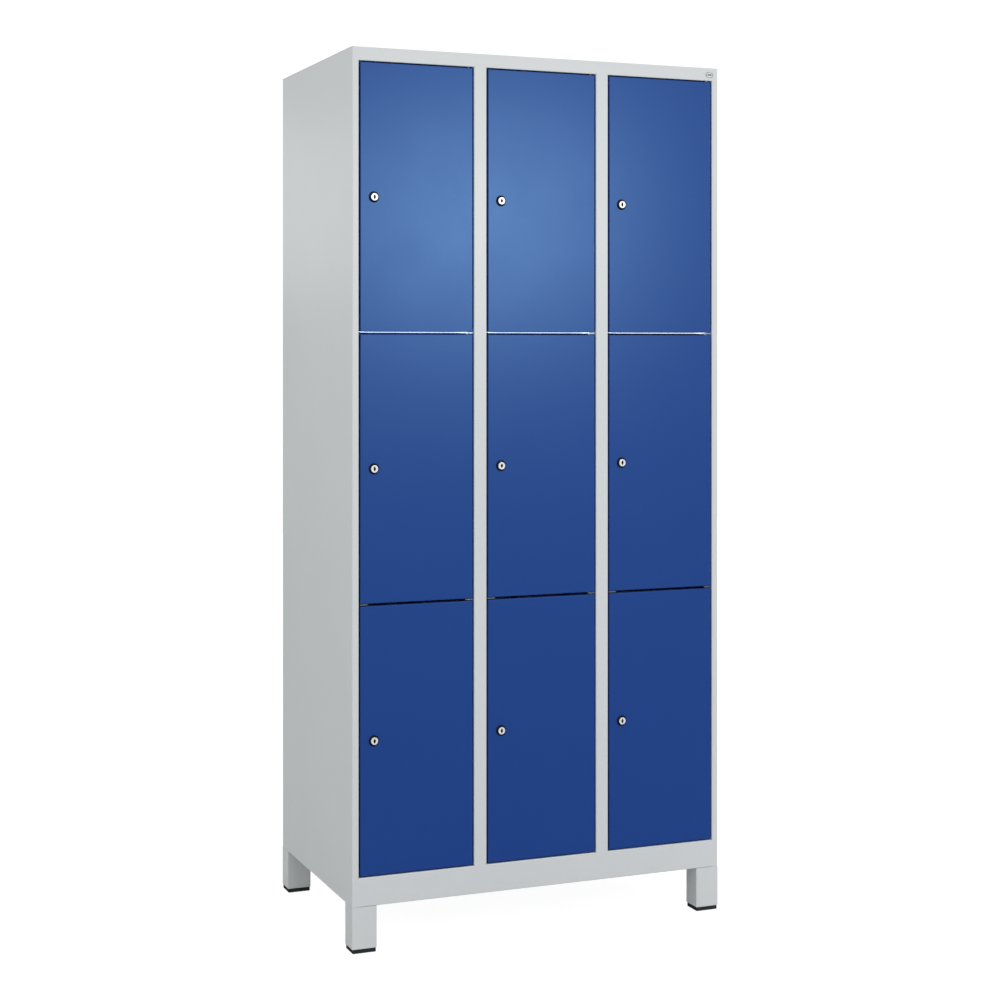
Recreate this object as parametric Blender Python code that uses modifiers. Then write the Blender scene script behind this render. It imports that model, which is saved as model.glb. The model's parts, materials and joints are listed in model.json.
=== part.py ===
"""Coin operated locker: a three-column, nine-door steel locker cabinet.

Frame: origin on the floor under the middle of the whole object, +X to the right
as one faces the doors, the doors face -Y, +Z up.  Metres.

The cabinet is folded sheet steel: side panels that carry the front stiles,
mullions, a top panel with the front fascia, a welded base frame on four legs,
partitions, shelves and a back panel.  Each compartment has a pan-shaped door on
a hinge rod at its right edge, and a coin-deposit lock inside its left edge.  The
lock's cylinder turns a quarter turn and its drive pin slides the bolt behind the
door-stop flange.
"""
import math

import bmesh
import bpy
from mathutils import Matrix, Vector

# ---------------------------------------------------------------- dimensions
MM = 0.001
WIDTH = 900.0            # over the side panels
DEPTH = 500.0            # front frame plane to rear face
HEIGHT = 1950.0          # floor to roof
LEG_HEIGHT = 100.0       # floor to underside of the carcass
SHEET = 0.8              # carcass and door sheet
GAP = 0.3                # clearance between parts that rest on each other
BEND = 1.8               # outer bend radius of the frame folds

COLUMNS = 3
ROWS = 3
STILE = 15.0             # face width of a side stile
MULLION = 30.0           # face width of a mullion
OPENING_W = 270.0        # clear width between stile and mullion
SILL_Z = 162.0           # top of the bottom rail
HEAD_Z = 1920.5          # underside of the top rail
PITCH = (HEAD_Z - SILL_Z) / ROWS
JAMB_DEPTH = 19.5        # depth of the jamb faces behind the front plane
STOP_W = 10.0            # door-stop flange on the lock side of each opening

DOOR_GAP_X = 3.0         # hinge side
DOOR_GAP_LOCK = 3.8      # lock side
DOOR_GAP_Z = 2.7
DOOR_RECESS = 1.0        # door face behind the frame's front plane
DOOR_DEPTH = 16.0
DOOR_BEND = 1.5
HINGE_IN = 11.8          # hinge axis from the opening's right edge
HINGE_BACK = 6.5         # hinge axis behind the front plane
ROD_R = 2.5
ROD_HOLE_R = 2.9

LOCK_IN = 35.0           # lock axis from the opening's left edge
LOCK_PROUD = 5.0         # cylinder face in front of the door face
PLUG_R = 8.0
COLLAR_R = 9.1           # front of the black collar round the cylinder
NECK_R = 11.8
PIN_E = 7.071            # drive pin off the lock axis
PIN_R = 2.0
BOLT_THROW = 10.0

LEG_X = 56.0
LEG_Y = 45.0
GLIDE_Z = 9.4            # visible height of the glide under the leg
LEG_WALL = 1.5

OVERHANG = LOCK_PROUD - DOOR_RECESS          # locks in front of the frame plane
FRONT = -(DEPTH - OVERHANG) / 2.0            # front plane, so the box is centred


def P(x, y, z):
    """Millimetres from the cabinet's front left floor corner to metres."""
    return Vector(((x - WIDTH / 2.0) * MM, (FRONT + y) * MM, z * MM))


DOOR_W = OPENING_W - DOOR_GAP_X - DOOR_GAP_LOCK
DOOR_H = PITCH - 2 * DOOR_GAP_Z
COL_NAMES = ("left", "centre", "right")
ROW_NAMES = ("top", "middle", "bottom")
OPEN_X = [STILE + c * (OPENING_W + MULLION) for c in range(COLUMNS)]
ROW_Z = [SILL_Z + (ROWS - 1 - r) * PITCH for r in range(ROWS)]

# ---------------------------------------------------------------- clean scene
for old in list(bpy.data.objects):
    bpy.data.objects.remove(old, do_unlink=True)

parts = bpy.data.collections.new("coin_locker")
tools = bpy.data.collections.new("cutters")
bpy.context.scene.collection.children.link(parts)
bpy.context.scene.collection.children.link(tools)


# ---------------------------------------------------------------- materials
def material(name, rgb, rough, metal=0.0):
    m = bpy.data.materials.new(name)
    m.use_nodes = True
    b = m.node_tree.nodes["Principled BSDF"]
    b.inputs["Base Color"].default_value = (*rgb, 1.0)
    b.inputs["Roughness"].default_value = rough
    b.inputs["Metallic"].default_value = metal
    return m


GREY = ((0.58, 0.60, 0.60), 0.42, 0.0)
BLUE = ((0.028, 0.095, 0.31), 0.36, 0.0)
BLACK = ((0.018, 0.019, 0.020), 0.55, 0.0)
CHROME = ((0.80, 0.80, 0.80), 0.12, 1.0)
ZINC = ((0.62, 0.62, 0.60), 0.35, 1.0)


def finish(obj, look):
    rgb, rough, metal = look
    obj.data.materials.clear()
    obj.data.materials.append(material(obj.name + "_finish", rgb, rough, metal))


# ---------------------------------------------------------------- shape tools
def add(name, bm, collection=parts):
    me = bpy.data.meshes.new(name)
    bm.to_mesh(me)
    bm.free()
    ob = bpy.data.objects.new(name, me)
    collection.objects.link(ob)
    return ob


def box_into(bm, lo, hi):
    """A box primitive between two corners, millimetres in any local frame."""
    lo, hi = Vector(lo) * MM, Vector(hi) * MM
    made = bmesh.ops.create_cube(bm, size=1.0)["verts"]
    bmesh.ops.scale(bm, vec=hi - lo, verts=made)
    bmesh.ops.translate(bm, vec=(lo + hi) / 2.0, verts=made)
    return made


def box(name, lo, hi, collection=parts):
    bm = bmesh.new()
    box_into(bm, lo, hi)
    return add(name, bm, collection)


def boxes(name, pairs, collection=tools):
    bm = bmesh.new()
    for lo, hi in pairs:
        box_into(bm, lo, hi)
    return add(name, bm, collection)


def cylinder_into(bm, centre, r, length, axis, n=24, squash=(1.0, 1.0), turn=0.0, front=None):
    """A cylinder or taper primitive along an axis, centred, millimetres.

    front is the radius at the far end: +Z, -Y or +X for the three axes.
    """
    made = bmesh.ops.create_cone(
        bm, cap_ends=True, segments=n, radius1=r * MM,
        radius2=(r if front is None else front) * MM, depth=length * MM)["verts"]
    spin = {"Z": Matrix(), "Y": Matrix.Rotation(math.pi / 2, 4, "X"),
            "X": Matrix.Rotation(math.pi / 2, 4, "Y")}[axis]
    flat = Matrix.Diagonal((squash[0], squash[1], 1.0, 1.0))
    m = Matrix.Translation(Vector(centre) * MM) @ spin @ flat @ Matrix.Rotation(turn, 4, "Z")
    bmesh.ops.transform(bm, matrix=m, verts=made)
    return made


def cylinder(name, centre, r, length, axis, n=24, collection=tools, **kw):
    bm = bmesh.new()
    cylinder_into(bm, centre, r, length, axis, n, **kw)
    return add(name, bm, collection)


def bake(ob):
    """Replace an object's mesh with the result of its modifiers."""
    bpy.context.view_layer.update()
    dg = bpy.context.evaluated_depsgraph_get()
    me = bpy.data.meshes.new_from_object(ob.evaluated_get(dg))
    ob.modifiers.clear()
    ob.data = me
    return ob


def combine(ob, tool, op):
    """Cut or join with one tool, which is used up."""
    m = ob.modifiers.new(op.lower(), "BOOLEAN")
    m.operation = op
    m.solver = "EXACT"
    m.object = tool
    bake(ob)
    bpy.data.objects.remove(tool, do_unlink=True)
    return ob


def cut(ob, *cutters):
    for c in cutters:
        combine(ob, c, "DIFFERENCE")
    return ob


def weld(ob, *others):
    for o in others:
        combine(ob, o, "UNION")
    return ob


def thicken(ob, t=SHEET):
    """Turn an open skin whose normals face outwards into sheet of thickness t."""
    m = ob.modifiers.new("sheet", "SOLIDIFY")
    m.thickness = t * MM
    m.offset = -1.0
    m.use_even_offset = True
    m.use_quality_normals = True
    return bake(ob)


def round_folds(ob, radius, segments=2, angle=30.0):
    m = ob.modifiers.new("bends", "BEVEL")
    m.width = radius * MM
    m.segments = segments
    m.limit_method = "ANGLE"
    m.angle_limit = math.radians(angle)
    m.use_clamp_overlap = False
    return bake(ob)


def folded(name, profile, axis, start, end, outward, t=SHEET, bend=BEND,
           segments=2, collection=parts):
    """Folded sheet: a profile's outer skin swept along an axis, then thickened.

    profile holds (p, q) in millimetres: (x, y) for a sweep along Z, (y, z) for
    a sweep along X.  outward is the outer normal of the first segment.
    """
    bm = bmesh.new()
    if axis == "Z":
        pts = [Vector((p, q, start)) for p, q in profile]
        move = Vector((0, 0, end - start)) * MM
    else:
        pts = [Vector((start, p, q)) for p, q in profile]
        move = Vector((end - start, 0, 0)) * MM
    vs = [bm.verts.new(p * MM) for p in pts]
    es = [bm.edges.new(pair) for pair in zip(vs, vs[1:])]
    out = bmesh.ops.extrude_edge_only(bm, edges=es)["geom"]
    bmesh.ops.translate(bm, vec=move, verts=[g for g in out if isinstance(g, bmesh.types.BMVert)])
    bmesh.ops.recalc_face_normals(bm, faces=bm.faces)
    bm.faces.ensure_lookup_table()
    bm.normal_update()
    first = next(f for f in bm.faces if vs[0] in f.verts and vs[1] in f.verts)
    if first.normal.dot(Vector(outward)) < 0:
        bmesh.ops.reverse_faces(bm, faces=bm.faces)
    ob = add(name, bm, collection)
    if bend:
        round_folds(ob, bend, segments)
    return thicken(ob, t)


def pan(name, lo, hi, open_side, t, bend, segments, collection=parts):
    """A box skin without one side, its edges rounded, thickened inwards."""
    bm = bmesh.new()
    box_into(bm, lo, hi)
    bmesh.ops.recalc_face_normals(bm, faces=bm.faces)
    want = Vector(open_side)
    gone = [f for f in bm.faces if f.normal.dot(want) > 0.9]
    bmesh.ops.delete(bm, geom=gone, context="FACES")
    ob = add(name, bm, collection)
    if bend:
        round_folds(ob, bend, segments, 60.0)
    return thicken(ob, t)


def tidy(ob, angle=30.0):
    """Merge coincident points, drop flat edges and shade the bends smooth."""
    bm = bmesh.new()
    bm.from_mesh(ob.data)
    bmesh.ops.remove_doubles(bm, verts=bm.verts, dist=0.000002)
    bmesh.ops.dissolve_limit(bm, angle_limit=math.radians(0.05), verts=bm.verts,
                             edges=bm.edges, use_dissolve_boundaries=False)
    bm.to_mesh(ob.data)
    bm.free()
    ob.data.shade_smooth()
    ob.data.set_sharp_from_angle(angle=math.radians(angle))
    return ob


def settle(ob, origin, look, scale_from_corner=True):
    """Shift a mesh drawn from the cabinet's corner so its origin is a point of its own."""
    tidy(ob)
    ob.data.transform(Matrix.Translation(-Vector(origin) * MM))
    ob.location = P(*origin)
    finish(ob, look)
    return ob


# ---------------------------------------------------------------- side panels
# One sheet: door-stop flange, jamb, front stile, side, rear return.  The left
# panel is the lock side of its column, the right panel the hinge side.
PANEL_TOP = HEIGHT - SHEET - GAP
SHELF_Z = [ROW_Z[0], ROW_Z[1]]               # under the top and the middle row
TAB_Z = (-0.5, 2.0)                          # shelf tab above and below that level


def tab_notches(edge_x, name):
    """Openings in a door-stop flange where the shelf tabs pass."""
    return boxes(name, [((edge_x + 0.3, JAMB_DEPTH - 3, z + TAB_Z[0] - 1.2),
                         (edge_x + STOP_W + 2, JAMB_DEPTH + 3, z + TAB_Z[1] + 1.2))
                        for z in SHELF_Z])


left = folded("side_panel_left",
              [(STILE + STOP_W, JAMB_DEPTH), (STILE, JAMB_DEPTH), (STILE, 0), (0, 0),
               (0, DEPTH), (20, DEPTH)],
              "Z", LEG_HEIGHT, PANEL_TOP, (0, -1, 0))
cut(left, tab_notches(STILE, "notches"))
settle(left, (0, 0, LEG_HEIGHT), GREY)

right = folded("side_panel_right",
               [(WIDTH - STILE, JAMB_DEPTH + SHEET), (WIDTH - STILE, 0), (WIDTH, 0),
                (WIDTH, DEPTH), (WIDTH - 20, DEPTH)],
               "Z", LEG_HEIGHT, PANEL_TOP, (-1, 0, 0))
settle(right, (WIDTH, 0, LEG_HEIGHT), GREY)

# ---------------------------------------------------------------- mullions, partitions
for c, name in ((1, "left"), (2, "right")):
    x1 = OPEN_X[c]
    x0 = x1 - MULLION
    mid = (x0 + x1) / 2.0
    m = folded("mullion_" + name,
               [(x0, JAMB_DEPTH + SHEET), (x0, 0), (x1, 0), (x1, JAMB_DEPTH),
                (x1 + STOP_W, JAMB_DEPTH)],
               "Z", SILL_Z + GAP, HEAD_Z - GAP, (-1, 0, 0))
    cut(m, tab_notches(x1, "notches"))
    settle(m, (mid, 0, SILL_Z + GAP), GREY)

    # The partition's front edge stands in the mullion's channel, and its top
    # front corner is notched round the top rail.
    p = box("partition_" + name, (mid - SHEET / 2, SHEET + 1.0, SILL_Z + GAP),
            (mid + SHEET / 2, DEPTH - 2.6, PANEL_TOP))
    cut(p, boxes("notch", [((mid - 5, -5, HEAD_Z - 1.0), (mid + 5, 22, HEIGHT + 5))]))
    settle(p, (mid, SHEET + 1.0, SILL_Z + GAP), GREY)

# ---------------------------------------------------------------- top panel
# Roof, front fascia and its lower return in one sheet, notched for the stiles.
top = folded("top_panel",
             [(DEPTH, HEIGHT), (0, HEIGHT), (0, HEAD_Z), (18, HEAD_Z), (18, HEAD_Z + 9)],
             "X", 0, WIDTH, (0, 0, 1))
cut(top, boxes("stile_notches", [
    ((-5, -5, HEAD_Z - 5), (STILE + GAP, 40, PANEL_TOP + GAP)),
    ((WIDTH - STILE - GAP, -5, HEAD_Z - 5), (WIDTH + 5, 40, PANEL_TOP + GAP))]))
cut(top, *[cylinder("rod_hole", (x + OPENING_W - HINGE_IN, HINGE_BACK, HEAD_Z), ROD_HOLE_R, 8, "Z", 12)
           for x in OPEN_X])
settle(top, (WIDTH / 2, 0, HEIGHT), GREY)

# ---------------------------------------------------------------- back panel
BACK_Y = (DEPTH - 2 * SHEET - GAP, DEPTH - SHEET - GAP)
back = box("back_panel", (1.3, BACK_Y[0], LEG_HEIGHT + 1), (WIDTH - 1.3, BACK_Y[1], PANEL_TOP))
vents = []
for x in OPEN_X:
    for z in ROW_Z:
        for k in range(2):
            zc = z + PITCH - 70 - 16 * k
            vents.append(((x + OPENING_W / 2 - 35, BACK_Y[0] - 3, zc - 3),
                          (x + OPENING_W / 2 + 35, BACK_Y[1] + 3, zc + 3)))
cut(back, boxes("vents", vents))
settle(back, (WIDTH / 2, BACK_Y[1], LEG_HEIGHT + 1), GREY)

# ---------------------------------------------------------------- floor panel
floor_top = SILL_Z - SHEET - GAP
floor = folded("floor_panel",
               [(14.0, floor_top - 12), (14.0, floor_top), (DEPTH - 2.7, floor_top)],
               "X", 1.3, WIDTH - 1.3, (0, -1, 0))
cut(floor, boxes("corner_notches", [
    ((-5, 5, floor_top - 20), (STILE + STOP_W + 2, 22, floor_top + 5)),
    ((WIDTH - STILE - 2, 5, floor_top - 20), (WIDTH + 5, 22, floor_top + 5))]))
settle(floor, (WIDTH / 2, 14.0, floor_top), GREY)

# ---------------------------------------------------------------- base frame
# Four leg tubes, open below for the glides, with a sleeve standing on each, and
# the rails welded to them.  The front rail's face runs on into the front legs.
LEG_TOP = LEG_HEIGHT - GAP
FRAME_TOP = floor_top - SHEET - GAP


def leg_corner(sx, sy):
    x0 = 0.0 if sx < 0 else WIDTH - LEG_X
    y0 = 0.0 if sy < 0 else DEPTH - LEG_Y
    return x0, y0


legs = {}
for sx, sy, key in ((-1, -1, "fl"), (1, -1, "fr"), (-1, 1, "rl"), (1, 1, "rr")):
    x0, y0 = leg_corner(sx, sy)
    legs[key] = pan("leg_" + key, (x0, y0, GLIDE_Z + GAP), (x0 + LEG_X, y0 + LEG_Y, LEG_TOP),
                    (0, 0, -1), LEG_WALL, 0, 1)
frame = legs["fl"]
frame.name = "base_frame"

front_rail = folded("front_rail", [(16, SILL_Z), (0, SILL_Z), (0, LEG_TOP), (18, LEG_TOP)],
                    "X", STILE + GAP, WIDTH - STILE - GAP, (0, 0, 1))
cut(front_rail, *[cylinder("rod_hole", (x + OPENING_W - HINGE_IN, HINGE_BACK, SILL_Z), ROD_HOLE_R, 8, "Z", 12)
                  for x in OPEN_X])
weld(frame, front_rail, legs["fr"])
rear_rail = box("rear_rail", (10, DEPTH - 6, LEG_TOP - 0.8), (WIDTH - 10, DEPTH - 4.5, FRAME_TOP))
weld(frame, rear_rail, legs["rl"], legs["rr"])
for x0 in (6.0, WIDTH - 6.0 - 1.5):
    weld(frame, box("side_rail", (x0, 30, LEG_TOP - 0.8), (x0 + 1.5, DEPTH - 5.2, FRAME_TOP)))
for x0 in (5.0, WIDTH - 5.0 - 40.0):
    weld(frame, box("front_gusset", (x0 + 0.0, 24, LEG_TOP - 0.8), (x0 + 40.0, 26, FRAME_TOP)))
for x0 in (STILE + STOP_W + 3, WIDTH - STILE - STOP_W - 5):
    weld(frame, box("corner_web", (x0, 0.5, LEG_TOP - 0.8), (x0 + 2, 25, FRAME_TOP - 14)))
settle(frame, (WIDTH / 2, 0, LEG_TOP), GREY)

# ---------------------------------------------------------------- glides
for sx, sy, name in ((-1, -1, "front_left"), (1, -1, "front_right"),
                     (-1, 1, "rear_left"), (1, 1, "rear_right")):
    x0, y0 = leg_corner(sx, sy)
    pad = box("foot_" + name, (x0 + 1.2, y0 + 1.2, 0),
              (x0 + LEG_X - 1.2, y0 + LEG_Y - 1.2, GLIDE_Z))
    round_folds(pad, 1.0, 1, 60.0)
    i = LEG_WALL + 0.4
    plug = box("plug", (x0 + i, y0 + i, GLIDE_Z - 2), (x0 + LEG_X - i, y0 + LEG_Y - i, GLIDE_Z + 18))
    weld(pad, plug)
    well = boxes("well", [((x0 + i + 3, y0 + i + 3, GLIDE_Z), (x0 + LEG_X - i - 3, y0 + LEG_Y - i - 3, GLIDE_Z + 30))])
    cut(pad, well)
    settle(pad, (x0 + LEG_X / 2, y0 + LEG_Y / 2, 0), BLACK)

# ---------------------------------------------------------------- shelves
# A plate with its front lip turned up and its rear edge turned down.  Two tabs
# reach forward between the doors, the right one carries the hinge rod in a boss.
TAB_W = 17.0
TAB_FRONT = 1.5
for c, cname in enumerate(COL_NAMES):
    ox = OPEN_X[c]
    x0 = SHEET + GAP if c == 0 else ox - MULLION / 2 + SHEET / 2 + GAP
    x1 = (WIDTH - SHEET - GAP if c == COLUMNS - 1
          else ox + OPENING_W + MULLION / 2 - SHEET / 2 - GAP)
    for level, lname in ((SHELF_Z[0], "upper"), (SHELF_Z[1], "lower")):
        under = level + TAB_Z[0]
        s = folded("shelf_%s_%s" % (cname, lname),
                   [(22.0, under + 12), (22.0, under), (DEPTH - 3.6, under), (DEPTH - 3.6, under - 14)],
                   "X", x0, x1, (0, -1, 0))
        tabs = []
        for tx in (ox + DOOR_GAP_LOCK - 0.4, ox + OPENING_W - DOOR_GAP_X - 0.4 - TAB_W):
            tabs.append(((tx, TAB_FRONT, level + TAB_Z[0]), (tx + TAB_W, 30.0, level + TAB_Z[1])))
        weld(s, *[box("tab", lo, hi) for lo, hi in tabs])
        bm = bmesh.new()
        cylinder_into(bm, (ox + OPENING_W - HINGE_IN, HINGE_BACK, level - 1.2), 3.5, 2.4, "Z", 16, front=5.8)
        weld(s, add("boss", bm))
        cut(s, cylinder("rod_hole", (ox + OPENING_W - HINGE_IN, HINGE_BACK, level), ROD_HOLE_R, 14, "Z", 12))
        settle(s, ((x0 + x1) / 2, 22.0, under), GREY)

# ---------------------------------------------------------------- hinge rods
for c, cname in enumerate(COL_NAMES):
    hx = OPEN_X[c] + OPENING_W - HINGE_IN
    lo, hi = SILL_Z - 14, HEAD_Z + 14
    rod = cylinder("hinge_rod_" + cname, (hx, HINGE_BACK, (lo + hi) / 2), ROD_R, hi - lo, "Z", 12,
                   collection=parts)
    settle(rod, (hx, HINGE_BACK, lo), ZINC)

# ---------------------------------------------------------------- blank badge
badge_at = (878.0, -GAP, 1934.0)
badge = cylinder("badge", (badge_at[0], -GAP - 0.6, badge_at[2]), 10.0, 1.2, "Y", 24,
                 collection=parts, squash=(1.0, 0.64))
settle(badge, badge_at, ZINC)

# ---------------------------------------------------------------- door leaf
# Drawn from the hinge axis at the door's lower edge; shared by the nine doors.
DX0 = -(DOOR_W - (HINGE_IN - DOOR_GAP_X))    # free edge
DX1 = HINGE_IN - DOOR_GAP_X                  # hinge edge
DY0 = DOOR_RECESS - HINGE_BACK               # face
DY1 = DY0 + DOOR_DEPTH
LOCK_X = LOCK_IN - (OPENING_W - HINGE_IN)    # lock axis from the hinge axis
LOCK_Z = DOOR_H / 2.0

leaf = pan("leaf", (DX0, DY0, 0), (DX1, DY1, DOOR_H), (0, 1, 0), SHEET, DOOR_BEND, 2)
for x0, x1 in ((DX0 + 0.3, DX0 + 8.0), (DX1 - 12.0, DX1 - 0.3)):
    weld(leaf, box("return", (x0, DY1 - SHEET - 0.2, 2.2), (x1, DY1 - 0.2, DOOR_H - 2.2)))
HAT_Y = DY0 + SHEET - 0.2                    # its feet are welded to the door face
hat = folded("hat", [(-150, HAT_Y), (-138, HAT_Y), (-138, DY0 + 12), (-96, DY0 + 12),
                     (-96, HAT_Y), (-84, HAT_Y)],
             "Z", 22, DOOR_H - 22, (0, -1, 0), bend=0)
weld(leaf, hat)
cut(leaf, cylinder("lock_hole", (LOCK_X, DY0, LOCK_Z), NECK_R + 0.3, 12, "Y", 48))
cut(leaf, cylinder("hinge_holes", (0, 0, DOOR_H / 2), ROD_HOLE_R, DOOR_H + 10, "Z", 12))
tidy(leaf)
leaf_mesh = leaf.data
bpy.data.objects.remove(leaf, do_unlink=True)

# ---------------------------------------------------------------- lock case
# Drawn from the lock axis at the frame's front plane (y = 0 there).
CASE = ((-22.5, 2.3, -62.0), (33.0, 28.0, 48.0))
WALL = 2.0
case = box("case", CASE[0], CASE[1])
collar = cylinder("neck", (0, 1.7, 0), NECK_R, 2.6, "Y", 48, collection=parts)
taper_front, taper_back = DOOR_RECESS - LOCK_PROUD + 0.6, 1.0
bm = bmesh.new()
cylinder_into(bm, (0, (taper_front + taper_back) / 2, 0), NECK_R - 0.2, taper_back - taper_front, "Y", 48,
              front=COLLAR_R)
weld(case, collar, add("taper", bm))
cut(case, boxes("cavity", [((CASE[0][0] + WALL, CASE[0][1] + WALL, CASE[0][2] + WALL),
                            (CASE[1][0] - WALL, CASE[1][1] - WALL, CASE[1][2] - WALL))]))
cut(case, cylinder("bore", (0, 0.0, 0), PLUG_R + 0.3, 12, "Y", 48))
BOLT_Y = (21.0, 25.0)
BOLT_Z = (-8.0, 12.0)
cut(case, boxes("case_openings", [
    # bolt
    ((CASE[0][0] - 3, BOLT_Y[0] - 0.4, BOLT_Z[0] - 0.5), (CASE[0][0] + 5, BOLT_Y[1] + 0.4, BOLT_Z[1] + 0.5)),
    # coin slot in the rear cover, upright
    ((18.4, 22.0, 10.0), (21.6, 34.0, 37.0)),
    # coin return below
    ((2.0, 14.0, -68.0), (30.0, 22.0, -57.0))]))
tidy(case)
case_mesh = case.data
bpy.data.objects.remove(case, do_unlink=True)

# ---------------------------------------------------------------- lock cylinder
# Drawn from the lock axis at the frame's front plane.  The key slot is upright
# and the drive pin stands 45 degrees to the right when the bolt is withdrawn.
PLUG_FRONT = DOOR_RECESS - LOCK_PROUD
plug = cylinder("plug", (0, (PLUG_FRONT + 20.0) / 2, 0), PLUG_R, 20.0 - PLUG_FRONT, "Y", 48,
                collection=parts)
edge = plug.modifiers.new("rim", "BEVEL")
edge.width = 0.7 * MM
edge.segments = 1
edge.limit_method = "ANGLE"
edge.angle_limit = math.radians(60)
bake(plug)
a = math.radians(45)
weld(plug, cylinder("pin", (PIN_E * math.sin(a), 22.0, PIN_E * math.cos(a)), PIN_R, 5.0, "Y", 12,
                    collection=parts))
cut(plug, cylinder("key_slot", (0, PLUG_FRONT + 3.0, 0), 6.0, 10.0, "Y", 8, squash=(0.5, 1.0)))
tidy(plug)
plug_mesh = plug.data
bpy.data.objects.remove(plug, do_unlink=True)

# ---------------------------------------------------------------- lock bolt
bolt = box("bolt", (-21.0, BOLT_Y[0], BOLT_Z[0]), (13.0, BOLT_Y[1], BOLT_Z[1]))
slot_x = PIN_E * math.sin(a)
cut(bolt, boxes("pin_slot", [((slot_x - PIN_R - 0.4, BOLT_Y[0] - 3, 2.0),
                              (slot_x + PIN_R + 0.4, BOLT_Y[1] + 3, 9.8))]))
tidy(bolt)
bolt_mesh = bolt.data
bpy.data.objects.remove(bolt, do_unlink=True)

# ---------------------------------------------------------------- nine doors
for c, cname in enumerate(COL_NAMES):
    for r, rname in enumerate(ROW_NAMES):
        tag = "_%s_%s" % (cname, rname)
        hx = OPEN_X[c] + OPENING_W - HINGE_IN
        z0 = ROW_Z[r] + DOOR_GAP_Z
        door = bpy.data.objects.new("door" + tag, leaf_mesh.copy())
        parts.objects.link(door)
        door.location = P(hx, HINGE_BACK, z0)
        finish(door, BLUE)
        lock_at = Vector((LOCK_X, -HINGE_BACK, LOCK_Z)) * MM
        for kind, mesh, look in (("lock_case", case_mesh, BLACK),
                                 ("lock_cylinder", plug_mesh, CHROME),
                                 ("lock_bolt", bolt_mesh, ZINC)):
            ob = bpy.data.objects.new(kind + tag, mesh.copy())
            parts.objects.link(ob)
            ob.parent = door
            ob.location = lock_at
            finish(ob, look)

bpy.context.view_layer.update()
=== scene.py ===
"""Looks of the coin operated locker: materials, small fittings, stage, light and camera."""
import json
import math

import bmesh
import bpy
from mathutils import Matrix, Vector


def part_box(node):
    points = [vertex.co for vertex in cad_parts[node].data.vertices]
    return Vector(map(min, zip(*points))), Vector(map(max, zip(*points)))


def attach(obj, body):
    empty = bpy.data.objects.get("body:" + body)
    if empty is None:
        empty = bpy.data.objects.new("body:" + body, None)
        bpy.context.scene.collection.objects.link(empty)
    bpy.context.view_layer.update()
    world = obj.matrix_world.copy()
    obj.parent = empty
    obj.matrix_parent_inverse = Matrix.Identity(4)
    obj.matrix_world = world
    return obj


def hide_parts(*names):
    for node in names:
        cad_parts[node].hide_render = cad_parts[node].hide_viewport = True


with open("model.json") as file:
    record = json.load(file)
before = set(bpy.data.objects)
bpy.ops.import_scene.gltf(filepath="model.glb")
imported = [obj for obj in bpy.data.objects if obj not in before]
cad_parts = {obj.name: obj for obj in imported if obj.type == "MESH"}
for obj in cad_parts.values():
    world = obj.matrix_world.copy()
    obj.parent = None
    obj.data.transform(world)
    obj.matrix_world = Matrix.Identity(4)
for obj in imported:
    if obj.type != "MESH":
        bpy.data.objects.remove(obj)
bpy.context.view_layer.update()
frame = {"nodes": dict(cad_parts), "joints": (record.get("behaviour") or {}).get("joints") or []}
nodes = frame["nodes"]
COLS = ("left", "centre", "right")
ROWS = ("top", "middle", "bottom")
TAGS = ["%s_%s" % (c, r) for c in COLS for r in ROWS]
scene = bpy.context.scene
MM = 0.001


# ---------------------------------------------------------------- node helpers
class Tree:
    """Short calls for building one material's nodes."""

    def __init__(self, name):
        self.mat = bpy.data.materials.new(name)
        self.mat.use_nodes = True
        self.t = self.mat.node_tree
        self.bsdf = self.t.nodes["Principled BSDF"]
        self.coord = self.t.nodes.new("ShaderNodeTexCoord").outputs["Object"]

    def node(self, kind, **props):
        n = self.t.nodes.new(kind)
        for k, v in props.items():
            setattr(n, k, v)
        return n

    def link(self, a, b):
        self.t.links.new(a, b)

    def noise(self, scale, detail=2.0, rough=0.5, vector=None, distortion=0.0):
        n = self.node("ShaderNodeTexNoise")
        n.inputs["Scale"].default_value = scale
        n.inputs["Detail"].default_value = detail
        n.inputs["Roughness"].default_value = rough
        n.inputs["Distortion"].default_value = distortion
        self.link(vector or self.coord, n.inputs["Vector"])
        return n.outputs["Fac"]

    def spread(self, value, lo, hi, a=0.3, b=0.7):
        n = self.node("ShaderNodeMapRange")
        n.inputs["From Min"].default_value = a
        n.inputs["From Max"].default_value = b
        n.inputs["To Min"].default_value = lo
        n.inputs["To Max"].default_value = hi
        self.link(value, n.inputs["Value"])
        return n.outputs["Result"]

    def mix(self, fac, a, b):
        n = self.node("ShaderNodeMix", data_type="RGBA")
        for socket, v in ((n.inputs[0], fac), (n.inputs[6], a), (n.inputs[7], b)):
            if isinstance(v, (int, float)):
                socket.default_value = v
            elif isinstance(v, tuple):
                socket.default_value = (*v, 1.0) if len(v) == 3 else v
            else:
                self.link(v, socket)
        return n.outputs[2]

    def math(self, op, a, b):
        n = self.node("ShaderNodeMath", operation=op)
        for socket, v in ((n.inputs[0], a), (n.inputs[1], b)):
            if isinstance(v, (int, float)):
                socket.default_value = v
            else:
                self.link(v, socket)
        return n.outputs[0]

    def bump(self, height, strength, distance, normal=None):
        n = self.node("ShaderNodeBump")
        n.inputs["Strength"].default_value = strength
        n.inputs["Distance"].default_value = distance
        self.link(height, n.inputs["Height"])
        if normal is not None:
            self.link(normal, n.inputs["Normal"])
        return n.outputs["Normal"]

    def set(self, name, v):
        if isinstance(v, (int, float)):
            self.bsdf.inputs[name].default_value = v
        elif isinstance(v, tuple):
            self.bsdf.inputs[name].default_value = (*v, 1.0)
        else:
            self.link(v, self.bsdf.inputs[name])


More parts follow.
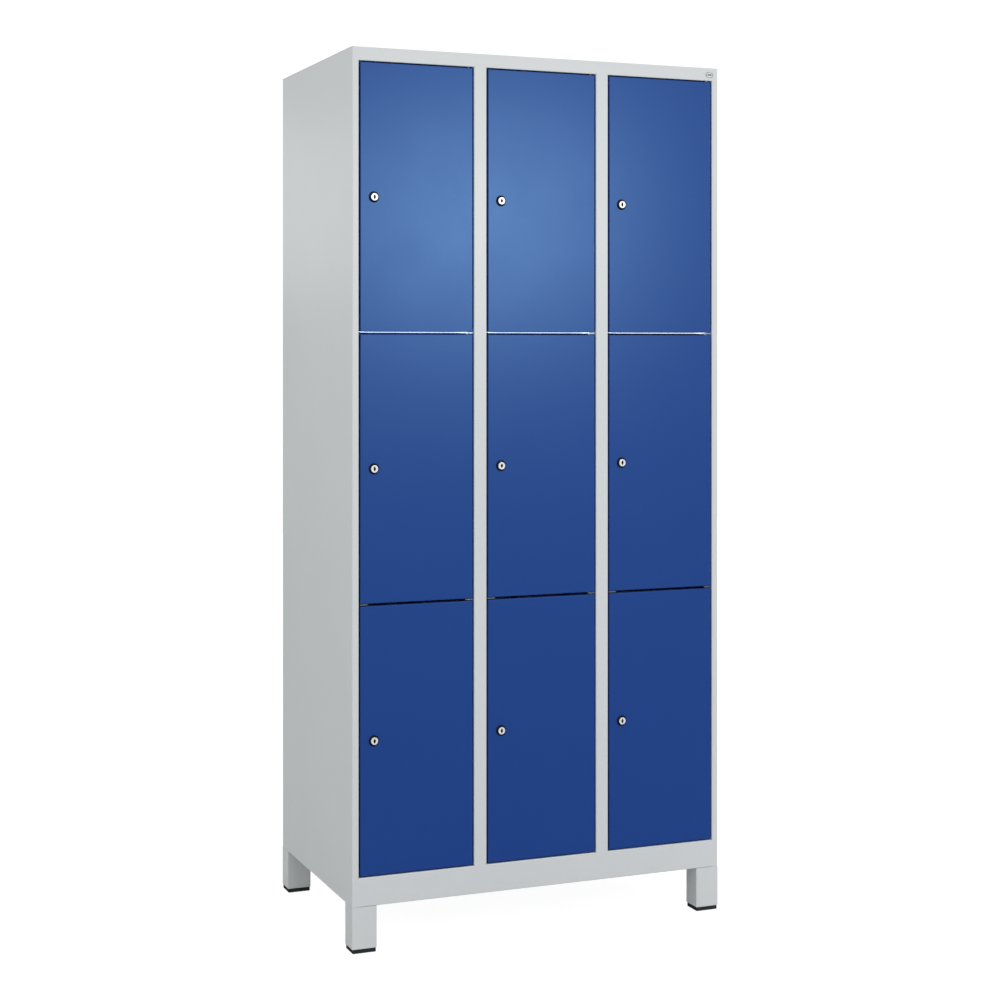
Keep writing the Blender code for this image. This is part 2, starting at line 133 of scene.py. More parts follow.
def powder_coat(name, base, rough, specular, ior=1.5, sheen=(1.0, 1.0, 1.0), peel=0.05, tint=0.012, gap_reflection=None):
    """Powder coat: orange peel a couple of millimetres across, a finer grain, and slow
    changes of gloss and depth of colour. Given a gap reflection colour, it is tinted towards it in
    narrow gaps, where ambient occlusion is high: a painted reflection of a neighbouring part."""
    m = Tree(name)
    slow = m.noise(3.2, 3.0, 0.55)
    grain = m.noise(2600.0, 1.0, 0.5)
    dark = tuple(c * (1.0 - tint) for c in base)
    light = tuple(min(1.0, c * (1.0 + tint)) for c in base)
    coat = m.mix(m.spread(slow, 0.0, 1.0), dark, light)
    coat = m.mix(m.spread(grain, 0.0, 0.14), coat, tuple(c * 0.90 for c in base))
    if gap_reflection is not None:
        # painted reflection: in narrow gaps the coat is tinted towards the given colour, standing in for light bounced
        # off a neighbour
        ao = m.node("ShaderNodeAmbientOcclusion")
        ao.samples = 6
        ao.inputs["Distance"].default_value = 0.010
        coat = m.mix(m.spread(ao.outputs["AO"], 1.0, 0.0, 0.15, 0.70), coat, gap_reflection)
    m.set("Base Color", coat)
    peel_h = m.noise(520.0, 2.0, 0.45)
    gloss = m.noise(9.0, 2.0, 0.5)
    m.set("Roughness", m.math("ADD", m.spread(gloss, rough - 0.008, rough + 0.008),
                              m.spread(peel_h, -0.012, 0.012)))
    first = m.bump(peel_h, peel, 0.0005)
    m.set("Normal", m.bump(grain, peel * 0.4, 0.0001, first))
    m.set("Specular IOR Level", specular)
    m.set("IOR", ior)
    m.set("Specular Tint", sheen)
    return m.mat


def metal(name, base, rough, brushed=0.0, spotted=0.0):
    m = Tree(name)
    n = m.noise(240.0, 3.0, 0.6)
    col = m.mix(m.spread(n, 0.0, 1.0), tuple(c * 0.93 for c in base), base)
    if spotted:
        v = m.node("ShaderNodeTexVoronoi")
        v.inputs["Scale"].default_value = 260.0
        m.link(m.coord, v.inputs["Vector"])
        col = m.mix(m.math("MULTIPLY", v.outputs["Color"], spotted), col, tuple(c * 0.72 for c in base))
    m.set("Base Color", col)
    m.set("Metallic", 1.0)
    m.set("Roughness", m.spread(m.noise(90.0, 3.0, 0.6), rough * 0.8, rough * 1.25))
    h = m.noise(1500.0, 2.0, 0.5)
    m.set("Normal", m.bump(h, 0.05 + brushed, 0.00008))
    return m.mat


def plastic(name, base, rough, grain=0.25, specular=0.5):
    m = Tree(name)
    n = m.noise(1800.0, 2.0, 0.5)
    m.set("Base Color", m.mix(m.spread(m.noise(35.0, 2.0), 0.0, 1.0), base, tuple(c * 1.35 + 0.001 for c in base)))
    m.set("Specular IOR Level", specular)
    m.set("Roughness", m.spread(n, rough - 0.05, rough + 0.07))
    m.set("Normal", m.bump(n, grain, 0.00012))
    return m.mat


# in narrow gaps the grey takes a painted blue reflection of the doors
GREY = powder_coat("powder_grey", (0.598, 0.622, 0.632), 0.30, 0.37, gap_reflection=(0.20, 0.30, 0.56))
BLUE = powder_coat("powder_blue", (0.0118, 0.0500, 0.2540), 0.30, 0.50, ior=1.75, sheen=(0.34, 0.65, 1.0))
CHROME = metal("chrome_plate", (0.80, 0.81, 0.82), 0.10)
ZINC = metal("zinc_plate", (0.66, 0.67, 0.66), 0.30, brushed=0.04, spotted=0.5)
BLACK = plastic("black_moulding", (0.0050, 0.0062, 0.0090), 0.46)
FOOT = plastic("foot_moulding", (0.021, 0.023, 0.025), 0.55, 0.35)
RUBBER = plastic("buffer_rubber", (0.030, 0.030, 0.031), 0.75, 0.4)
# near black: painted shade on the walls and wafers of the keyway, for the dark of the deep slot; on the badge, the own
# dark of its raised ring and bar
KEYWAY_SHADE_AND_BADGE_INK = plastic("keyway_dark", (0.004, 0.004, 0.005), 0.6, 0.2)


def turned_face():
    """Satin chrome of the barrel: fine rings from the lathe round the axis."""
    m = Tree("turned_chrome")
    m.set("Base Color", m.mix(m.spread(m.noise(400.0, 2.0), 0.0, 1.0), (0.90, 0.905, 0.92), (0.95, 0.955, 0.965)))
    m.set("Metallic", 0.25)
    m.set("Roughness", 0.24)
    m.set("Specular IOR Level", 0.8)
    w = m.node("ShaderNodeTexWave", wave_type="RINGS", rings_direction="Y")
    w.inputs["Scale"].default_value = 1500.0
    w.inputs["Distortion"].default_value = 0.4
    m.link(m.coord, w.inputs["Vector"])
    m.set("Normal", m.bump(w.outputs["Fac"], 0.12, 0.00004))
    return m.mat


def shelf_edge(name, glow=0.0, across=None, level=0.0):
    """Bright zinc of the shelves' folded front edge and tabs. With glow set, light and shade are
    painted in: deep in the narrow gap between two doors the upper edges get a painted glow, an
    emission that grows where their surround closes in, above the given level and as far across
    as the doors reach. Below it, and towards the front, they get painted shade."""
    m = Tree(name)
    zinc = m.mix(m.spread(m.noise(300.0, 3.0), 0.0, 1.0), (0.66, 0.73, 0.85), (0.74, 0.81, 0.93))
    m.set("Metallic", 1.0)
    m.set("Roughness", m.spread(m.noise(60.0, 3.0), 0.30, 0.38))
    if glow:
        # painted light from here on: how closed in the edge is, from ambient occlusion, drives a painted glow above the
        # level and painted shade below it
        ao = m.node("ShaderNodeAmbientOcclusion")
        ao.samples = 8
        ao.inputs["Distance"].default_value = 0.04
        closed = m.math("SUBTRACT", 1.0, ao.outputs["AO"])
        place = m.node("ShaderNodeSeparateXYZ")
        m.link(m.node("ShaderNodeNewGeometry").outputs["Position"], place.inputs[0])
        x, y, z = place.outputs
        inside = m.math("MULTIPLY", m.math("GREATER_THAN", x, across[0]), m.math("LESS_THAN", x, across[1]))
        # near the hinge boss the glowing zone reaches up to 3.4 mm lower, a painted triangle that stands in for the
        # boss catching the light
        dip = m.spread(m.math("ABSOLUTE", m.math("SUBTRACT", x, across[1] - 9.5 * MM), 0.0), 3.4 * MM, 0.0, 0.0, 9.0 * MM)
        upper = m.math("MULTIPLY", inside, m.math("GREATER_THAN", m.math("ADD", z, dip), level))
        front = m.spread(y, 1.0, 0.0, FRONT + 6.0 * MM, FRONT + 20.0 * MM)
        shade = m.math("MAXIMUM", m.spread(closed, 0.0, LIP_PAINTED_SHADE, 0.05, 0.3), front)
        painted_shade = m.math("MULTIPLY", m.math("SUBTRACT", 1.0, upper), shade)
        # painted shade: the parts nearest the front are darkened up to a quarter of the way to dark navy
        zinc = m.mix(m.math("MULTIPLY", front, 0.25), zinc, (0.02, 0.03, 0.06))
        # the painted glow is weaker towards the front, down to TAB_GLOW of it on the tabs
        upper = m.math("MULTIPLY", upper, m.spread(y, TAB_GLOW, 1.0, FRONT + 14.0 * MM, FRONT + 20.0 * MM))
        # painted shade: below the level, where closed in or near the front, the edge is painted dark navy
        zinc = m.mix(painted_shade, zinc, (0.02, 0.03, 0.06))
        # painted glow: a pale blue emission that grows with how closed in the edge is, above the level
        m.bsdf.inputs["Emission Color"].default_value = (0.62, 0.77, 1.0, 1.0)
        m.set("Emission Strength", m.math("MULTIPLY", m.math("MULTIPLY", m.math("POWER", closed, 2.0), glow), upper))
    m.set("Base Color", zinc)
    if hasattr(m.mat, "cycles"):
        m.mat.cycles.emission_sampling = "NONE"
    return m.mat


FACE = turned_face()
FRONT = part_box("side_panel_left")[0].y   # the frame's front plane
# strengths of the painted glow and the painted shade on the upper shelf edges, the lift of the glow's level, and the
# share of painted glow left on the tab fronts
LIP_GLOW, LIP_PAINTED_SHADE, LIP_RISE, TAB_GLOW = 2.25, 1.0, 0.35 * MM, 0.35
EDGE = shelf_edge("zinc_edge_lower")
PAINTED_GLOW_LIPS = {}
# the upper shelf edge of each column: painted glow and painted shade across the door's width, with the level halfway up
# the gap between the middle and top doors
for c in COLS:
    below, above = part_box("door_%s_middle" % c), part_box("door_%s_top" % c)
    PAINTED_GLOW_LIPS[c] = shelf_edge("zinc_edge_" + c, LIP_GLOW, (below[0].x, below[1].x), (below[1].z + above[0].z) / 2 + LIP_RISE)
PLATE = metal("badge_plate", (0.80, 0.80, 0.80), 0.40)
for n in PLATE.node_tree.nodes:
    if n.type == "BSDF_PRINCIPLED":
        n.inputs["Metallic"].default_value = 0.3


def paint(ob, *mats):
    ob.data.materials.clear()
    for m in mats:
        ob.data.materials.append(m)


for name, ob in nodes.items():
    if name.startswith("door_"):
        paint(ob, BLUE)
    elif name.startswith("lock_case"):
        paint(ob, BLACK)
    elif name.startswith("lock_cylinder"):
        paint(ob, CHROME)
    elif name.startswith(("lock_bolt", "hinge_rod")) or name == "badge":
        paint(ob, ZINC)
    elif name.startswith("foot_"):
        paint(ob, FOOT)
    else:
        paint(ob, GREY)


# ---------------------------------------------------------------- places, from the frame
joint_at = {j["name"]: Vector(j["pos_m"]) for j in frame["joints"] if "pos_m" in j}
stile_lo, stile_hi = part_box("side_panel_left")
right_lo, right_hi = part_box("side_panel_right")
roof_lo, roof_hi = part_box("top_panel")
frame_lo, frame_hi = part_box("base_frame")
STILE = 15.0 * MM
FOLD = 1.8 * MM
HEAD_Z = roof_lo.z                       # lower edge of the fascia
SILL_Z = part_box("mullion_left")[0].z - 0.3 * MM
LEG_TOP = stile_lo.z


# ---------------------------------------------------------------- mesh helpers
def make(name, bm, mats, smooth=32.0):
    me = bpy.data.meshes.new(name)
    bmesh.ops.recalc_face_normals(bm, faces=bm.faces)
    bm.to_mesh(me)
    bm.free()
    ob = bpy.data.objects.new(name, me)
    scene.collection.objects.link(ob)
    for m in mats:
        me.materials.append(m)
    me.shade_smooth()
    me.set_sharp_from_angle(angle=math.radians(smooth))
    return ob


def lathe(bm, profile, at=(0, 0, 0), segs=56, mat=0, squash=1.0, axis="Y"):
    """Turn (radius, height) pairs about an axis through a point; heights run along +axis."""
    rings = []
    at = Vector(at)
    for r, h in profile:
        if r < 1e-7:
            loop = [(0.0, 0.0)]
        else:
            loop = [(r * math.cos(2 * math.pi * k / segs), squash * r * math.sin(2 * math.pi * k / segs))
                    for k in range(segs)]
        if axis == "Y":
            rings.append([bm.verts.new(at + Vector((u, h, v))) for u, v in loop])
        else:
            rings.append([bm.verts.new(at + Vector((u, v, h))) for u, v in loop])
    for a, b in zip(rings, rings[1:]):
        for k in range(segs):
            n = (k + 1) % segs
            if len(a) == 1 and len(b) == 1:
                continue
            if len(a) == 1:
                f = bm.faces.new((a[0], b[k], b[n]))
            elif len(b) == 1:
                f = bm.faces.new((a[k], a[n], b[0]))
            else:
                f = bm.faces.new((a[k], a[n], b[n], b[k]))
            f.material_index = mat
    return rings


def block(bm, lo, hi, bevel=0.0, segs=3, along=None, mat=0):
    """A box with rounded edges; along limits the rounding to edges that run one way."""
    lo, hi = Vector(lo), Vector(hi)
    made = bmesh.ops.create_cube(bm, size=1.0)["verts"]
    bmesh.ops.scale(bm, vec=hi - lo, verts=made)
    bmesh.ops.translate(bm, vec=(lo + hi) / 2, verts=made)
    faces = {f for v in made for f in v.link_faces}
    for f in faces:
        f.material_index = mat
    if bevel:
        edges = {e for v in made for e in v.link_edges}
        if along is not None:
            way = Vector(along)
            edges = {e for e in edges
                     if abs((e.verts[0].co - e.verts[1].co).normalized().dot(way)) > 0.99}
        bmesh.ops.bevel(bm, geom=list(edges), offset=bevel, segments=segs, profile=0.5,
                        affect="EDGES", clamp_overlap=True)
    return made


def carve(ob, tool, op="DIFFERENCE"):
    m = ob.modifiers.new("carve", "BOOLEAN")
    m.operation = op
    m.solver = "EXACT"
    m.object = tool
    bpy.context.view_layer.update()
    me = bpy.data.meshes.new_from_object(ob.evaluated_get(bpy.context.evaluated_depsgraph_get()))
    ob.modifiers.clear()
    ob.data = me
    bpy.data.objects.remove(tool, do_unlink=True)
    return ob


def scaled(ob):
    """Millimetres to metres, and the shading set again after the cuts."""
    ob.data.transform(Matrix.Scale(MM, 4))
    ob.data.shade_smooth()
    ob.data.set_sharp_from_angle(angle=math.radians(32))
    return ob


# ---------------------------------------------------------------- lock barrel
# Drawn in millimetres from the lock axis at the frame's front plane.
def lock_barrel():
    bm = bmesh.new()
    lathe(bm, [(0, -3.74), (2.8, -3.78), (5.9, -3.94), (6.5, -3.97), (6.62, -3.84), (6.82, -3.84), (6.95, -3.98),
               (7.45, -4.00), (7.75, -3.93), (7.93, -3.72), (8.00, -3.42), (8.00, 1.2), (7.75, 1.45), (7.75, 17.0),
               (9.00, 17.2), (9.10, 17.4), (9.10, 19.8), (8.90, 20.0), (0, 20.0)], segs=72)
    ob = make("lock_barrel", bm, [FACE, KEYWAY_SHADE_AND_BADGE_INK])
    bm = bmesh.new()
    outline = []
    steps = 14
    for side in (1, -1):
        for k in range(steps):
            t = (-1 + 2 * k / steps) * side
            outline.append((side * 2.95 * (1 - abs(t) ** 1.5), 5.75 * t))
    front = [bm.verts.new((x, -6.0, z)) for x, z in outline]
    back = [bm.verts.new((x * 0.92, 2.2, z * 0.97)) for x, z in outline]
    n = len(outline)
    bm.faces.new(front)
    bm.faces.new(list(reversed(back)))
    for k in range(n):
        bm.faces.new((front[k], back[k], back[(k + 1) % n], front[(k + 1) % n]))
    # the walls of the keyway are painted near black: painted shade of the deep slot
    for f in bm.faces:
        f.material_index = 1
    carve(ob, make("keyway_cut", bm, [FACE, KEYWAY_SHADE_AND_BADGE_INK]))
    # wafers standing across the keyway, and the drive pin behind
    bm = bmesh.new()
    bm.from_mesh(ob.data)
    # the wafers are painted near black as well: painted shade
    for k, (lift, deep) in enumerate(((1.4, -0.6), (-1.7, 0.4), (0.6, 1.4))):
        block(bm, (-2.5, deep, lift - 1.1), (2.5, deep + 0.45, lift + 1.1), 0.08, 1, mat=1)
    a = math.radians(45)
    lathe(bm, [(0, 19.4), (2.0, 19.4), (2.0, 24.0), (1.6, 24.5), (0, 24.5)],
          at=(7.071 * math.sin(a), 0, 7.071 * math.cos(a)), segs=24)
    bm.to_mesh(ob.data)
    bm.free()
    return scaled(ob)


def lock_housing():
    """Moulded case of the coin deposit: body, cover with a parting groove, the tapered collar
    that stands through the door, coin slot with its plate, coin return cup and cover screws."""
    bm = bmesh.new()
    block(bm, (-22.5, 2.3, -62.0), (33.0, 24.2, 48.0), 3.0, 4, along=(0, 1, 0))
    ob = make("lock_housing", bm, [BLACK, ZINC])
    bm = bmesh.new()
    block(bm, (-21.8, 23.2, -61.3), (32.3, 25.6, 47.3), 2.4, 4, along=(0, 1, 0))
    carve(ob, make("neck", bm, [BLACK, ZINC]), "UNION")
    bm = bmesh.new()
    block(bm, (-22.5, 24.8, -62.0), (33.0, 28.0, 48.0), 1.4, 3)
    carve(ob, make("cover", bm, [BLACK, ZINC]), "UNION")
    bm = bmesh.new()
    block(bm, (-0.5, 12.2, -66.5), (32.2, 24.0, -60.5), 1.6, 3)
    carve(ob, make("cup", bm, [BLACK, ZINC]), "UNION")
    bm = bmesh.new()
    lathe(bm, [(0, -3.40), (8.75, -3.40), (9.00, -3.32), (9.15, -3.05), (11.55, 0.75), (11.8, 1.0), (11.8, 3.2), (0, 3.2)],
          segs=72)
    carve(ob, make("collar", bm, [BLACK, ZINC]), "UNION")
    # a raised field with ribs on the cover
    for k in range(6):
        bm = bmesh.new()
        z = -46.0 + 6.0 * k
        block(bm, (-14.0, 27.2, z), (24.5, 28.7, z + 2.4), 0.5, 2)
        carve(ob, make("rib", bm, [BLACK, ZINC]), "UNION")
    bm = bmesh.new()
    block(bm, (-20.5, 4.3, -60.0), (31.0, 26.0, 46.0))
    carve(ob, make("cavity", bm, [BLACK, ZINC]))
    bm = bmesh.new()
    lathe(bm, [(0, -6), (8.25, -6), (8.25, 6.5), (0, 6.5)], segs=72)
    carve(ob, make("bore", bm, [BLACK, ZINC]))
    for lo, hi in (((-26.0, 20.6, -8.5), (-17.5, 25.4, 12.5)), ((18.4, 22.0, 10.0), (21.6, 34.0, 37.0)),
                   ((2.0, 14.0, -70.0), (30.0, 22.0, -57.0)), ((-15.0, 27.5, 14.0), (9.0, 30.0, 36.0))):
        bm = bmesh.new()
        block(bm, lo, hi, 0.4, 1)
        carve(ob, make("opening", bm, [BLACK, ZINC]))
    # coin plate round the slot
    bm = bmesh.new()
    block(bm, (12.6, 27.6, 3.5), (27.4, 29.0, 43.5), 0.5, 2, mat=1)
    plate = make("coin_plate", bm, [BLACK, ZINC])
    bm = bmesh.new()
    block(bm, (18.5, 26.0, 10.1), (21.5, 32.0, 36.9), 0.6, 2, mat=1)
    carve(plate, make("coin_cut", bm, [BLACK, ZINC]))
    # screws: pan heads with a cross recess
    heads = []
    for x, z, r in ((-17.0, -56.5, 2.7), (27.5, -56.5, 2.7), (-17.0, 42.5, 2.7), (9.0, 42.5, 2.7),
                    (20.0, 6.7, 1.7), (20.0, 40.3, 1.7)):
        y0 = 27.6 if r > 2 else 28.7
        h = r * 0.55
        bm = bmesh.new()
        lathe(bm, [(0, y0), (r, y0), (r, y0 + 0.4 * h + 0.35), (r * 0.86, y0 + 0.8 * h + 0.35),
                   (r * 0.55, y0 + h + 0.35), (0, y0 + h + 0.38)], at=(x, 0, z), segs=28, mat=1)
        head = make("screw", bm, [BLACK, ZINC])
        for turn in (0.5, 0.5 + math.pi / 2):
            bm = bmesh.new()
            made = block(bm, (-r * 0.62, y0 + 0.55 * h, -r * 0.13), (r * 0.62, y0 + 3 * h, r * 0.13), mat=1)
            bmesh.ops.rotate(bm, cent=(0, 0, 0), matrix=Matrix.Rotation(turn, 3, "Y"), verts=made)
            bmesh.ops.translate(bm, vec=(x, 0, z), verts=made)
            carve(head, make("cross", bm, [BLACK, ZINC]))
        heads.append(head)
    bm = bmesh.new()
    bm.from_mesh(ob.data)
    for other in [plate] + heads:
        bm.from_mesh(other.data)
        bpy.data.objects.remove(other, do_unlink=True)
    bm.to_mesh(ob.data)
    bm.free()
    return scaled(ob)


barrel = lock_barrel()
housing = lock_housing()
for tag in TAGS:
    at = joint_at["lock_%s_turn" % tag]
    place = Matrix.Translation(Vector((at.x, FRONT, at.z)))
    for proto, name, body, node, slot in ((barrel, "lock_barrel_", "lock_", "lock_cylinder_", "lock_chrome"),
                                          (housing, "lock_housing_", "door_", "lock_case_", "lock_black")):
        ob = bpy.data.objects.new(name + tag, proto.data)
        scene.collection.objects.link(ob)
        ob.matrix_world = place
        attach(ob, body + tag)
        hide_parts(node + tag)
for proto in (barrel, housing):
    bpy.data.objects.remove(proto, do_unlink=True)

# ---------------------------------------------------------------- rubber buffers
# Two domed buffers on the door-stop flange of every compartment.
bm = bmesh.new()
for tag in TAGS:
    lo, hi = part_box("door_" + tag)
    for z in (lo.z + 0.075, hi.z - 0.075):
        back = FRONT + 19.5 * MM
        x = lo.x + 2.9 * MM
        lathe(bm, [(0, back - 2.15 * MM), (1.3 * MM, back - 2.1 * MM), (2.3 * MM, back - 1.8 * MM),
                   (3.0 * MM, back - 1.2 * MM), (3.2 * MM, back - 0.5 * MM), (3.2 * MM, back + 0.02 * MM),
                   (0, back + 0.02 * MM)], at=(x, 0, z), segs=24)
buffers = make("door_buffers", bm, [RUBBER])
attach(buffers, "cabinet")

# ---------------------------------------------------------------- dressed welds of the front frame
# The stiles, fascia, rail and mullions are one welded and painted front: fillets
# close the fold grooves where the sheets meet, a hair behind the front plane.
bm = bmesh.new()
y0, y1 = FRONT + 0.03 * MM, FRONT + 1.6 * MM
for side in (-1, 1):
    edge = stile_lo.x if side < 0 else right_hi.x
    inner, outer = edge - side * (STILE - 2.0 * MM), edge - side * (STILE + 0.7 * MM)
    x0, x1 = min(inner, outer), max(inner, outer)
    block(bm, (x0, y0, HEAD_Z + 0.2 * MM), (x1, y1, roof_hi.z - 1.0 * MM))
    block(bm, (x0, y0, LEG_TOP + 0.1 * MM), (x1, y1, SILL_Z - 0.2 * MM))
    far, near = edge - side * 0.5 * MM, edge - side * (STILE + 0.4 * MM)
    block(bm, (min(far, near), y0 + 0.1 * MM, roof_hi.z - 2.4 * MM), (max(far, near), y1, roof_hi.z - 0.35 * MM), 0.25 * MM, 2)
for name in ("mullion_left", "mullion_right"):
    lo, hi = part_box(name)
    x0, x1 = lo.x + 1.5 * MM, lo.x + 28.5 * MM
    block(bm, (x0, y0, HEAD_Z - 0.6 * MM), (x1, y1, HEAD_Z + FOLD + 0.3 * MM))
    block(bm, (x0, y0, SILL_Z - FOLD - 0.3 * MM), (x1, y1, SILL_Z + 0.6 * MM))
dressed = make("dressed_welds", bm, [GREY])
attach(dressed, "cabinet")

# ---------------------------------------------------------------- blank badge
lo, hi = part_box("badge")
mid = (lo + hi) / 2
w, h = (hi.x - lo.x) / 2, (hi.z - lo.z) / 2
bm = bmesh.new()
rings = [(0, lo.y + 0.22 * MM, 0), (w * 0.82, lo.y + 0.30 * MM, 0), (w * 0.84, lo.y + 0.60 * MM, 1),
         (w * 0.89, lo.y + 0.60 * MM, 1), (w * 0.92, lo.y + 0.05 * MM, 0), (w * 0.96, lo.y, 0),
         (w, lo.y + 0.25 * MM, 0), (w, FRONT - 0.02 * MM, 0), (0, FRONT - 0.02 * MM, 0)]
for first, second in zip(rings, rings[1:]):
    lathe(bm, [(first[0], first[1]), (second[0], second[1])], at=(mid.x, 0, mid.z), segs=56,
          mat=max(first[2], second[2]), squash=h / w)
bmesh.ops.remove_doubles(bm, verts=bm.verts, dist=1e-6)
block(bm, (mid.x - w * 0.52, lo.y + 0.08 * MM, mid.z - h * 0.20), (mid.x + w * 0.52, lo.y + 0.6 * MM, mid.z + h * 0.20),
      0.5 * MM, 3, along=(0, 1, 0), mat=1)
badge = make("blank_badge", bm, [PLATE, KEYWAY_SHADE_AND_BADGE_INK])
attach(badge, "cabinet")
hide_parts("badge")

# ---------------------------------------------------------------- rivets of the back panel
back_lo, back_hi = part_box("back_panel")
bm = bmesh.new()


def rivet(x, z, y):
    lathe(bm, [(0, y - 0.3 * MM), (3.3 * MM, y - 0.3 * MM), (3.3 * MM, y + 0.15 * MM), (2.7 * MM, y + 0.65 * MM),
               (1.5 * MM, y + 0.9 * MM), (1.15 * MM, y + 0.9 * MM), (1.0 * MM, y + 0.35 * MM), (0, y + 0.35 * MM)],
          at=(x, 0, z), segs=20)


rows = 11
for k in range(rows):
    z = back_lo.z + 0.06 + k * (back_hi.z - back_lo.z - 0.12) / (rows - 1)
    for x in (stile_lo.x + 0.011, right_hi.x - 0.011):
        rivet(x, z, stile_hi.y)
    for name in ("partition_left", "partition_right"):
        lo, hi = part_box(name)
        rivet((lo.x + hi.x) / 2 + 0.006, z, back_hi.y)
rivets = make("back_rivets", bm, [ZINC])
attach(rivets, "cabinet")

# ---------------------------------------------------------------- bolts that hold the body to the base
floor_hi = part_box("floor_panel")[1]
bm = bmesh.new()
for x in (stile_lo.x + 0.040, right_hi.x - 0.040):
    for y in (FRONT + 0.045, stile_hi.y - 0.040):
        z = floor_hi.z
        lathe(bm, [(0, z + 0.05 * MM), (8.0 * MM, z + 0.05 * MM), (8.2 * MM, z + 0.4 * MM), (8.2 * MM, z + 1.2 * MM),
                   (7.9 * MM, z + 1.5 * MM), (0, z + 1.5 * MM)], at=(x, y, 0), segs=32, axis="Z")
        lathe(bm, [(0, z + 1.4 * MM), (7.4 * MM, z + 1.4 * MM), (7.5 * MM, z + 1.7 * MM), (7.5 * MM, z + 5.9 * MM),
                   (6.6 * MM, z + 6.6 * MM), (0, z + 6.6 * MM)], at=(x, y, 0), segs=6, axis="Z")
bolts = make("base_bolts", bm, [ZINC], 20.0)
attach(bolts, "cabinet")

# ---------------------------------------------------------------- zinc edges of the shelves, with painted glow and painted shade on the upper ones
for name, ob in nodes.items():
    if name.startswith("shelf_"):
        ob.data.materials.append(PAINTED_GLOW_LIPS[name.split("_")[1]] if name.endswith("_upper") else EDGE)
        for p in ob.data.polygons:
            if p.center.y < FRONT + 23.2 * MM:
                p.material_index = 1

# ---------------------------------------------------------------- duller coat on the right side
# The right side lies nearly edge on to the key light: a duller coat there keeps its
# skimming reflection from washing out the panel when it is looked along from behind.
SIDE = powder_coat("powder_grey_side", (0.606, 0.630, 0.640), 0.42, 0.0)
right = nodes["side_panel_right"]
right.data.materials.append(SIDE)
for p in right.data.polygons:
    if p.normal.x > 0.99 and p.center.x > right_hi.x - 0.1 * MM:
        p.material_index = 1

# ---------------------------------------------------------------- stage
KEY_POWER, FILL_POWER, AMBIENT, GLOSS_ENV = 19.5, 2.0, 1.00, 0.03

GLOSS_TOP = 0.30


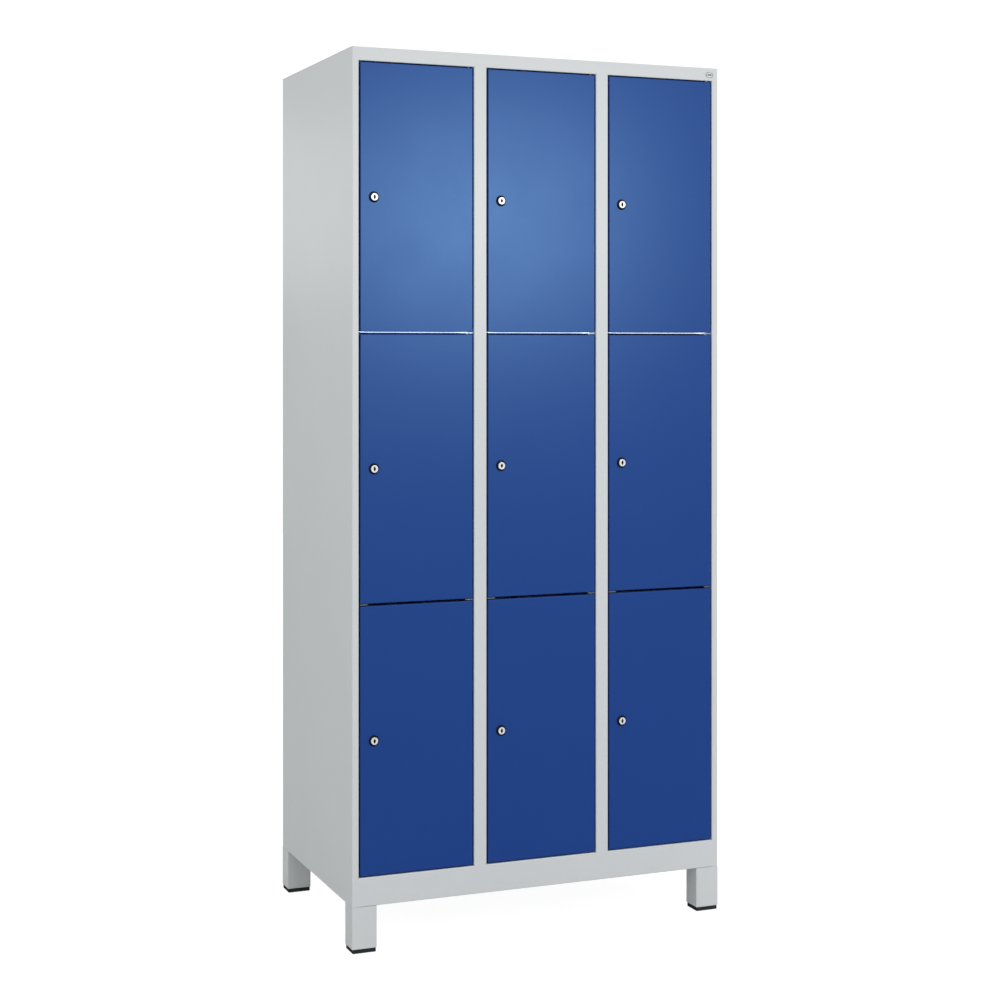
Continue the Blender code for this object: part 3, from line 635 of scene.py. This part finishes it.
def stage():
    """A plain pale floor that reads as white, and an even white surround."""
    bpy.ops.mesh.primitive_plane_add(size=16.0, location=(0, 0, -0.0005))
    floor = bpy.context.object
    floor.name = "floor"
    m = Tree("pale_floor")
    m.set("Base Color", m.mix(m.spread(m.noise(1.3, 2.0), 0.0, 1.0), (0.78, 0.78, 0.78), (0.82, 0.82, 0.82)))
    m.set("Roughness", m.spread(m.noise(30.0, 3.0), 0.75, 0.9))
    m.set("Specular IOR Level", 0.05)
    out = m.t.nodes["Material Output"]
    path = m.node("ShaderNodeLightPath")
    seen = m.node("ShaderNodeEmission")
    seen.inputs["Strength"].default_value = 0.92
    both = m.node("ShaderNodeAddShader")
    soft = m.node("ShaderNodeMixShader")
    black = m.node("ShaderNodeEmission")
    black.inputs["Strength"].default_value = 0.0
    soft.inputs[0].default_value = 0.72
    m.link(m.bsdf.outputs[0], soft.inputs[1])
    m.link(black.outputs[0], soft.inputs[2])
    m.link(seen.outputs[0], both.inputs[0])
    m.link(soft.outputs[0], both.inputs[1])
    mirror = m.node("ShaderNodeEmission")
    mirror.inputs["Strength"].default_value = GLOSS_ENV
    pick = m.node("ShaderNodeMixShader")
    m.link(path.outputs["Is Glossy Ray"], pick.inputs[0])
    m.link(m.bsdf.outputs[0], pick.inputs[1])
    m.link(mirror.outputs[0], pick.inputs[2])
    top = m.node("ShaderNodeMixShader")
    m.link(path.outputs["Is Camera Ray"], top.inputs[0])
    m.link(pick.outputs[0], top.inputs[1])
    m.link(both.outputs[0], top.inputs[2])
    m.link(top.outputs[0], out.inputs["Surface"])
    if hasattr(m.mat, "cycles"):
        m.mat.cycles.emission_sampling = "NONE"
    floor.data.materials.append(m.mat)

    w = bpy.data.worlds.new("studio")
    scene.world = w
    w.use_nodes = True
    t = w.node_tree
    t.nodes.clear()
    out = t.nodes.new("ShaderNodeOutputWorld")
    path = t.nodes.new("ShaderNodeLightPath")

    def background(strength, colour):
        n = t.nodes.new("ShaderNodeBackground")
        n.inputs["Strength"].default_value = strength
        n.inputs["Color"].default_value = (*colour, 1)
        return n.outputs[0]

    def choose(fac, a, b):
        n = t.nodes.new("ShaderNodeMixShader")
        t.links.new(fac, n.inputs[0])
        t.links.new(a, n.inputs[1])
        t.links.new(b, n.inputs[2])
        return n.outputs[0]

    if hasattr(w, "cycles"):
        w.cycles.sampling_method = "NONE"
    # what the glossy surfaces mirror grows brighter from the floor line upwards
    way = t.nodes.new("ShaderNodeTexCoord")
    split = t.nodes.new("ShaderNodeSeparateXYZ")
    t.links.new(way.outputs["Generated"], split.inputs[0])
    rise = t.nodes.new("ShaderNodeMapRange")
    rise.interpolation_type = "SMOOTHSTEP"
    rise.inputs["From Min"].default_value = -0.22
    rise.inputs["From Max"].default_value = 0.12
    rise.inputs["To Min"].default_value = GLOSS_ENV
    rise.inputs["To Max"].default_value = GLOSS_TOP
    t.links.new(split.outputs[2], rise.inputs["Value"])
    mirrored = t.nodes.new("ShaderNodeBackground")
    t.links.new(rise.outputs["Result"], mirrored.inputs["Strength"])
    around = choose(path.outputs["Is Glossy Ray"], background(AMBIENT, (1.0, 1.0, 1.0)), mirrored.outputs[0])
    t.links.new(choose(path.outputs["Is Camera Ray"], around, background(1.05, (1, 1, 1))), out.inputs[0])


def softbox(name, where, at, size, power, colour=(1, 1, 1)):
    data = bpy.data.lights.new(name, "AREA")
    data.shape = "RECTANGLE"
    data.size, data.size_y = size
    data.energy = power
    data.color = colour
    ob = bpy.data.objects.new(name, data)
    scene.collection.objects.link(ob)
    ob.location = where
    ob.rotation_euler = (Vector(at) - Vector(where)).to_track_quat("-Z", "Y").to_euler()
    return ob


def camera():
    """A level camera with its lens shifted, so that uprights stay parallel. The shift is
    held by the mount the camera hangs on, as a slant between the way it looks and the
    plane of its picture, so that away from the mount it is a plain centred camera."""
    data = bpy.data.cameras.new("camera")
    data.sensor_fit = "HORIZONTAL"
    data.sensor_width = 36.0
    data.clip_end = 60.0
    ob = bpy.data.objects.new("camera", data)
    mount = bpy.data.objects.new("camera_mount", None)
    scene.collection.objects.link(mount)
    scene.collection.objects.link(ob)
    turn = Matrix.Rotation(math.radians(-20.052), 3, "Z") @ Matrix.Rotation(math.radians(90.0), 3, "X")
    lens, shift_x, shift_y = 63.381, 0.13453, -0.1521
    look = turn @ Vector((36.0 * shift_x, 36.0 * shift_y, -lens))
    data.lens = look.length
    look.normalize()
    hung = turn.to_4x4()
    hung.col[2] = (*(-look), 0.0)
    hung.col[3] = (-1.71847, -3.80609, 1.30198, 1.0)
    ob.parent = mount
    ob.matrix_parent_inverse = hung
    scene.camera = ob


stage()
softbox("key", (1.21, -3.46, 1.845), (-0.15, -0.25, 1.50), (1.05, 0.72), KEY_POWER)
softbox("fill_left", (-3.0, 0.2, 2.3), (-0.45, 0.0, 1.1), (1.6, 1.6), FILL_POWER)
softbox("rim_left", (-1.72, 3.81, 1.94), (-0.45, 0.0, 1.6), (0.75, 0.75), 2.0)
camera()
scene.view_settings.view_transform = "Standard"
scene.view_settings.look = "None"
